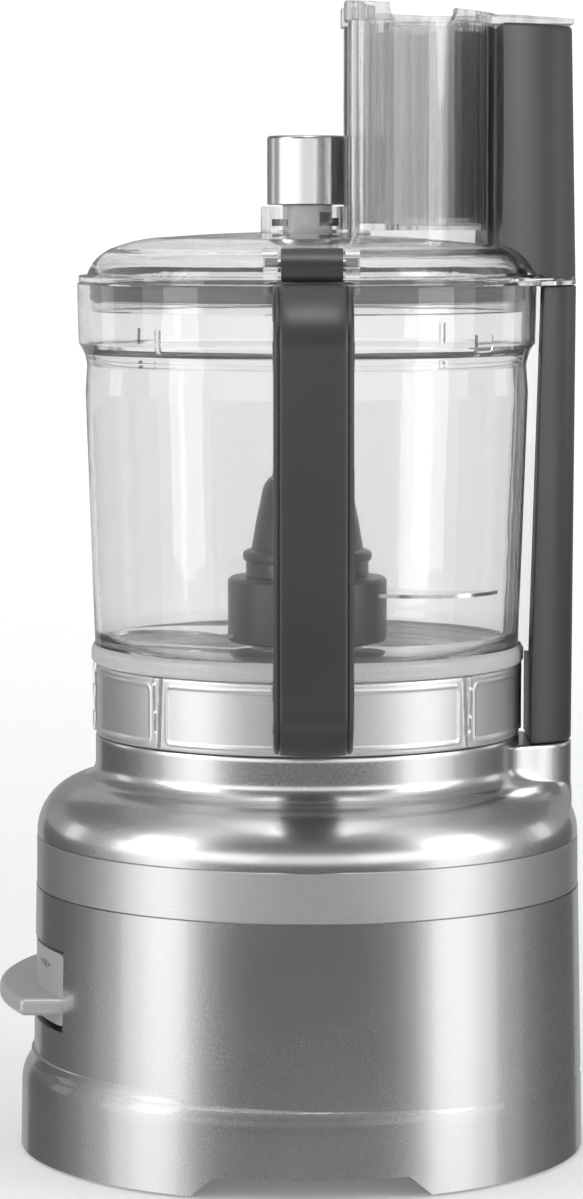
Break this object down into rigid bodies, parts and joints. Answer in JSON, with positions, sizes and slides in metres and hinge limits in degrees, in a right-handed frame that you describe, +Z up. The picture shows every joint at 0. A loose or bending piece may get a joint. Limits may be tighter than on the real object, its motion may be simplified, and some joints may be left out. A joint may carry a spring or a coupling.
{
  "type": "food processor",
  "caption": "Food processor with a round silver base, clear work bowl with dark handle, domed lid with feed tube and pushers, and a metal blade.",
  "frame": {"origin": "on the drive axis, at the plane of the foot soles", "axes": "+Z up, +X towards the bowl handle, -Y towards the control paddle, +Y towards the feed tube and interlock column"},
  "size_m": [0.2588, 0.2257, 0.4374],
  "materials": {
    "silver_paint": "metallic silver paint over moulded plastic, satin",
    "band_metal": "horizontally brushed sheet",
    "clear_plastic": "clear polished moulding",
    "dark_plastic": "dark grey satin moulding",
    "satin_ring": "frosted silver moulding",
    "paddle_plastic": "silver satin moulding",
    "knob_metal": "polished turned aluminium",
    "blade_steel": "ground blade steel",
    "adapter_metal": "satin die-cast",
    "shaft_steel": "ground shaft",
    "lamination": "stacked electrical steel",
    "copper": "enamelled winding wire",
    "bracket_metal": "die-cast",
    "bearing_steel": "ground",
    "fixing_steel": "zinc plated",
    "black_plastic": "moulded",
    "grey_base_plastic": "moulded",
    "rubber": "soft rubber",
    "gasket_rubber": "dark silicone",
    "circuit": "circuit board",
    "capacitor_can": "drawn can"
  },
  "bodies": {
    "base": {"base_housing": "silver_paint", "skirt_lobes": "silver_paint", "upper_housing": "silver_paint", "bottom_cover": "grey_base_plastic", "cover_screws": "fixing_steel", "rubber_feet": "rubber", "accent_band": "band_metal", "shaft_sleeve": "grey_base_plastic", "shaft_seal": "rubber", "motor_bracket_lower": "bracket_metal", "motor_bracket_upper": "bracket_metal", "lower_bearing": "bearing_steel", "upper_bearing": "bearing_steel", "isolation_mounts": "rubber", "motor_screws": "fixing_steel", "stator_core": "lamination", "stator_windings": "copper", "control_board": "circuit", "board_screws": "fixing_steel", "run_capacitor": "capacitor_can", "paddle_bracket": "black_plastic", "paddle_pivot_pin": "fixing_steel", "paddle_spring": "fixing_steel", "speed_switch": "black_plastic", "interlock_switch": "black_plastic", "plunger_spring": "fixing_steel", "cord_gland": "black_plastic"},
    "rotor": {"motor_shaft": "shaft_steel", "rotor_core": "lamination", "cooling_fan": "black_plastic"},
    "paddle": {"paddle": "paddle_plastic"},
    "plunger": {"interlock_plunger": "black_plastic"},
    "bowl": {"work_bowl": "clear_plastic", "bowl_skirt_ring": "satin_ring", "handle_grip": "dark_plastic", "handle_core": "clear_plastic", "handle_screws": "fixing_steel", "column_cover": "dark_plastic", "bowl_rod_spring": "fixing_steel"},
    "bowl_rod": {"bowl_interlock_rod": "black_plastic"},
    "drive": {"drive_adapter": "adapter_metal"},
    "blade": {"blade_hub": "dark_plastic", "upper_blade": "blade_steel", "lower_blade": "blade_steel"},
    "lid": {"lid": "clear_plastic", "lid_gasket": "gasket_rubber", "latch_pin": "fixing_steel", "latch_spring": "fixing_steel", "tube_cover": "dark_plastic", "lid_rod_spring": "fixing_steel"},
    "latch": {"latch": "dark_plastic"},
    "knob": {"slice_knob": "knob_metal", "knob_stem": "satin_ring", "knob_lugs": "black_plastic"},
    "lid_rod": {"lid_interlock_rod": "black_plastic"},
    "large_pusher": {"large_pusher": "clear_plastic"},
    "small_pusher": {"small_pusher": "clear_plastic"}
  },
  "joints": [
    {"name": "motor_spin", "type": "hinge", "parent": "base", "child": "rotor", "pos_m": [0, 0, 0.085], "axis": [0, 0, 1], "continuous": true},
    {"name": "paddle_rock", "type": "hinge", "parent": "base", "child": "paddle", "pos_m": [0, -0.097, 0.067], "axis": [1, 0, 0], "range_deg": [-6, 8], "stiffness_Nm_per_rad": 0.6},
    {"name": "plunger_slide", "type": "slide", "parent": "base", "child": "plunger", "axis": [0, 0, 1], "range_m": [-0.004, 0], "stiffness_N_per_m": 250, "deforming": ["plunger_spring"]},
    {"name": "bowl_lift", "type": "slide", "parent": "base", "child": "bowl", "axis": [0, 0, 1], "range_m": [0, 0.1]},
    {"name": "bowl_rod_slide", "type": "slide", "parent": "bowl", "child": "bowl_rod", "axis": [0, 0, 1], "range_m": [-0.004, 0], "stiffness_N_per_m": 250, "deforming": ["bowl_rod_spring"]},
    {"name": "drive_spin", "type": "hinge", "parent": "bowl", "child": "drive", "pos_m": [0, 0, 0.21], "axis": [0, 0, 1], "continuous": true},
    {"name": "blade_lift", "type": "slide", "parent": "drive", "child": "blade", "axis": [0, 0, 1], "range_m": [0, 0.06]},
    {"name": "lid_lift", "type": "slide", "parent": "bowl", "child": "lid", "axis": [0, 0, 1], "range_m": [0, 0.06]},
    {"name": "latch_flip", "type": "hinge", "parent": "lid", "child": "latch", "pos_m": [0.092, 0, 0.341], "axis": [0, -1, 0], "range_deg": [0, 70], "stiffness_Nm_per_rad": 0.02},
    {"name": "knob_turn", "type": "hinge", "parent": "lid", "child": "knob", "pos_m": [0, 0, 0.37], "axis": [0, 0, 1], "range_deg": [0, 150]},
    {"name": "lid_rod_slide", "type": "slide", "parent": "lid", "child": "lid_rod", "axis": [0, 0, 1], "range_m": [-0.004, 0], "stiffness_N_per_m": 250, "deforming": ["lid_rod_spring"]},
    {"name": "large_pusher_lift", "type": "slide", "parent": "lid", "child": "large_pusher", "axis": [0, 0, 1], "range_m": [0, 0.09]},
    {"name": "small_pusher_lift", "type": "slide", "parent": "large_pusher", "child": "small_pusher", "axis": [0, 0, 1], "range_m": [0, 0.08]}
  ],
  "couplings": [
    {"joint": "drive_spin", "follows": "motor_spin", "ratio": 1},
    {"joint": "bowl_rod_slide", "follows": "lid_rod_slide", "ratio": 1},
    {"joint": "plunger_slide", "follows": "lid_rod_slide", "ratio": 1}
  ]
}
